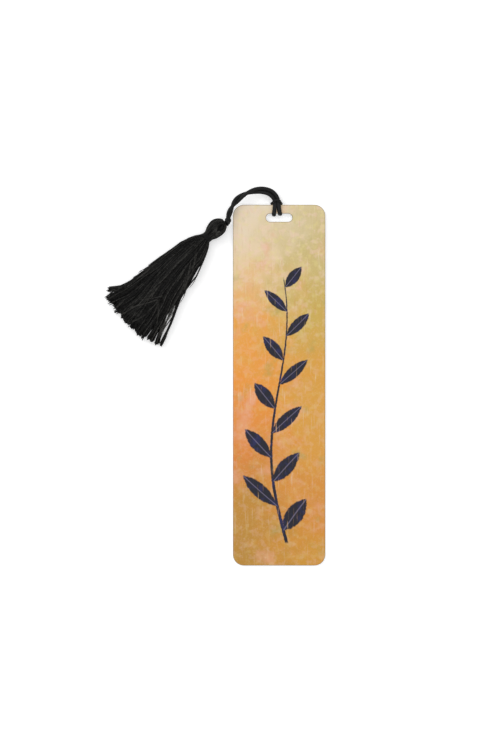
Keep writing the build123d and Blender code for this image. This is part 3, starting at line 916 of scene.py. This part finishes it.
# Threads lying across the others: place across and distance of both ends, their spread and number
straySetup = {
    "rows": [(3.8, 28.5, -2.6, 36.6, 0.15, 2), (3.4, 30, -3.6, 42, 0.3, 2), (3.2, 31, 2.6, 38.5, 0.2, 2),
             (3.6, 31, 6.8, 43, 0.2, 2), (4.6, 33, 9.3, 39.5, 0.2, 2), (3, 39.5, 1, 45.5, 0.2, 2),
             (2, 13.5, 3.8, 21.5, 0.1, 2), (2.5, 10.5, 8.4, 22.5, 0.5, 4), (1.5, 5.5, 6, 14, 0.5, 3),
             (4.5, 14.5, 9, 25, 0.5, 4), (8, 13.5, 9.2, 19.2, 0.1, 2), (8.7, 21, 10.3, 26.2, 0.1, 2),
             (9.2, 30, 13.6, 43, 0.3, 5), (9.2, 28.5, 12.3, 40, 0.3, 5), (10.4, 28.5, 11.6, 40, 0.3, 4),
             (11.2, 30, 12.8, 41, 0.3, 4), (9.5, 33, 12.4, 41, 0.3, 4)],
    # The shade of the threads on top is a painted highlight, lighter than the threads below
    "bow": 0.3, "lift": 0.12, "sink": 0.6, "sinkCurve": 6, "shade": (0.45, 1.0),
}


def skirtSection(distance):
    # Half width, half thickness, height and shift of the skirt at a distance from the neck
    places, *columns = np.array(skirtSetup["sections"]).T
    return [np.interp(distance, places, column) for column in columns]


def skirtPlaces(distance, beside, height):
    # Place of a thread at its distance from the neck and from the middle line
    s = skirtSetup
    along, aside = heading(s["heading"]), heading(s["heading"] + 90)
    flat = [s["neck"][k] + distance * along[k] + beside * aside[k] for k in (0, 1)]
    return np.stack([flat[0], flat[1], height], axis=-1) * mm


def inDisc(chance, count):
    # Places spread evenly over a round section: across and layer
    turn, spread = chance.random(count) * 2 * np.pi, np.sqrt(chance.random(count))
    return np.cos(turn) * spread, np.sin(turn) * spread


def skirtThreads(chance):
    s = skirtSetup
    count = s["threads"]
    across, layer = inDisc(chance, count)
    hair = np.arange(count) < s["edgeHairs"]
    loose = ~hair & (np.arange(count) < s["edgeHairs"] + s["looseThreads"])
    across[hair] = -chance.uniform(*s["hairAcross"], s["edgeHairs"])
    across[loose] = chance.uniform(*s["looseAcross"], s["looseThreads"])
    layer[hair | loose] = chance.uniform(*s["edgeLayer"], s["edgeHairs"] + s["looseThreads"])
    # Locks of neighbouring threads, drawn together
    lockAcross, lockLayer = inDisc(chance, s["locks"])
    fromLock = (across[:, None] - lockAcross) ** 2 + s["lockFlat"] * (layer[:, None] - lockLayer) ** 2
    nearest = np.argmin(fromLock, axis=1)
    end = np.interp(across, *zip(*s["hemLine"])) + chance.normal(0, s["hemUneven"], count)
    end = end + chance.normal(0, s["lockUneven"], s["locks"])[nearest]
    teeth = chance.normal(0, s["toothUneven"], s["teeth"])
    end = end + np.interp(across, np.linspace(-1, 1, s["teeth"]), teeth)
    end[hair] = chance.uniform(*s["hairEnd"], s["edgeHairs"])
    distance = np.minimum(np.array(s["stations"])[None], end[:, None])
    for step in range(1, distance.shape[1]):  # a short thread keeps its stations apart
        distance[:, step] = np.maximum(distance[:, step], distance[:, step - 1] + s["leastStep"])
    hangs = np.clip((distance - s["gatherFrom"]) / (s["hem"] - s["gatherFrom"]), 0, 1)
    parting = np.full(count, -1)
    for number, (low, high) in enumerate(row[:2] for row in s["partings"]):
        parting[(across >= low) & (across < high) & ~hair] = number
    parted = parting >= 0
    gather = np.where(parted, 0.0, s["gather"]) * chance.uniform(*s["gatherUneven"], count)
    pull = gather[:, None] * hangs ** s["gatherCurve"]
    # A share of the threads drifts across the others
    drift = np.where(chance.random(count) < s["drifting"], chance.normal(0, s["drift"], count), 0.0)
    drift = np.clip(across + drift, s["driftLeast"], s["partings"][1][0]) - across
    drift[hair | parted] = 0.0
    y = across[:, None] * (1 - pull) + lockAcross[nearest][:, None] * pull
    y = y + drift[:, None] * np.clip(distance / s["hem"], 0, s["driftMost"]) ** s["driftCurve"]
    pull = s["lockFlat"] * pull
    z = layer[:, None] * (1 - pull) + lockLayer[nearest][:, None] * pull
    width, thick, height, shift = skirtSection(distance)
    beside = y * width + shift
    # The right edge holds together before its locks splay out
    soft = s["pressSoft"]
    over = np.maximum(beside - s["pressEdge"] - s["pressSlope"] * (distance - s["pressTo"]) + soft, 0)
    pressed = np.clip((distance - s["pressFrom"]) / (s["pressTo"] - s["pressFrom"]), 0, 1)
    inwards = pressed * (over - soft * (1 - np.exp(-over / soft)))
    beside = beside - inwards * ((parting > 0) & (parting < len(s["partings"]) - 1))[:, None]
    for number, (leave, place, wide) in enumerate(row[2:] for row in s["partings"]):
        leaves = leave - chance.uniform(*s["leaveEarly"], count)
        share = np.clip((distance - leaves[:, None]) / (end - leaves)[:, None], 0, 1) ** s["splay"]
        target = place + chance.normal(0, wide, count)
        for thread in np.nonzero(parting == number)[0]:
            kept = np.interp(np.minimum(distance[thread], leaves[thread]), distance[thread], beside[thread])
            beside[thread] = kept + (target[thread] - kept) * share[thread]
    # Bends, and the hairs and loose threads that stand out from the edges
    length = chance.uniform(*s["bendLength"], count)[:, None]
    start = chance.random(count)[:, None]
    reach = s["bend"] * chance.uniform(*s["bendUneven"], count)[:, None]
    reach = reach * np.clip(distance / s["bendFullBy"], 0, s["bendMost"])
    reach = reach * np.where(loose, s["looseBend"], np.where(parted, s["partedBend"], 1.0))[:, None]
    beside = beside + reach * np.sin(2 * np.pi * (distance / length + start))
    flare = np.where(hair, -chance.uniform(*s["hairOut"], count), 0.0)[:, None]
    beside = beside + flare * np.clip(1 - (end[:, None] - distance) / s["hairFlare"], 0, 1)
    bulge = np.where(loose, chance.uniform(*s["looseOut"], count), 0.0)[:, None]
    beside = beside + bulge * np.sin(np.pi * np.clip((distance - s["looseFrom"]) / s["looseLong"], 0, 1))
    radii = s["thick"] / 2 * mm * np.clip(s["rootThick"] + distance / s["fullThickBy"], s["rootThick"], 1.0)
    radii = radii * chance.uniform(*s["thickUneven"], count)[:, None]
    radii[hair] *= s["thin"]
    # Painted highlights: a share of the threads gets a lighter tone
    pale = chance.random(count) < s["glintThreads"]
    shades = np.where(pale, chance.uniform(*s["glintShade"], count), chance.uniform(*s["darkShade"], count))
    return skirtPlaces(distance, beside, z * thick + height), radii, shades, layer


def strayThreads(chance):
    # Thin threads on top of the others, with both ends in among them
    s = straySetup
    rows = np.array([row[:5] for row in s["rows"] for copy in range(row[5])])
    share = np.linspace(0, 1, len(skirtSetup["stations"]))[None]
    apart = chance.normal(0, 1, (4, len(rows), 1)) * rows[:, 4:5]
    distance = (rows[:, 1:2] + apart[0]) * (1 - share) + (rows[:, 3:4] + apart[1]) * share
    beside = (rows[:, 0:1] + apart[2]) * (1 - share) + (rows[:, 2:3] + apart[3]) * share
    beside = beside + s["bow"] * np.sin(np.pi * share)
    width, thick, height, shift = skirtSection(distance)
    top = height + thick * np.sqrt(np.clip(1 - ((beside - shift) / width) ** 2, 0, 1)) + s["lift"]
    top = top - s["sink"] * np.abs(2 * share - 1) ** s["sinkCurve"]
    radii = np.full(distance.shape, skirtSetup["thick"] / 2 * skirtSetup["thin"] * mm)
    # Painted highlights on the threads lying on top
    shades = chance.uniform(*s["shade"], len(rows))
    return skirtPlaces(distance, beside, top), radii, shades, np.ones(len(rows))


chance = np.random.default_rng(skirtSetup["seed"])
skirtParts = zip(skirtThreads(chance), strayThreads(chance))
skirtPaths, skirtRadii, skirtShades, skirtLayer = (np.concatenate(pair) for pair in skirtParts)
for name, chosen in (("skirt_upper_threads", skirtLayer >= 0), ("skirt_under_threads", skirtLayer < 0)):
    skirt = threadBundle(name, skirtPaths[chosen], skirtRadii[chosen], skirtShades[chosen],
                         skirtSetup["sides"], silkYarn)
    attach(skirt, "tassel")
    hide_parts("tassel_skirt")
    print(name, len(skirt.data.polygons), "faces")
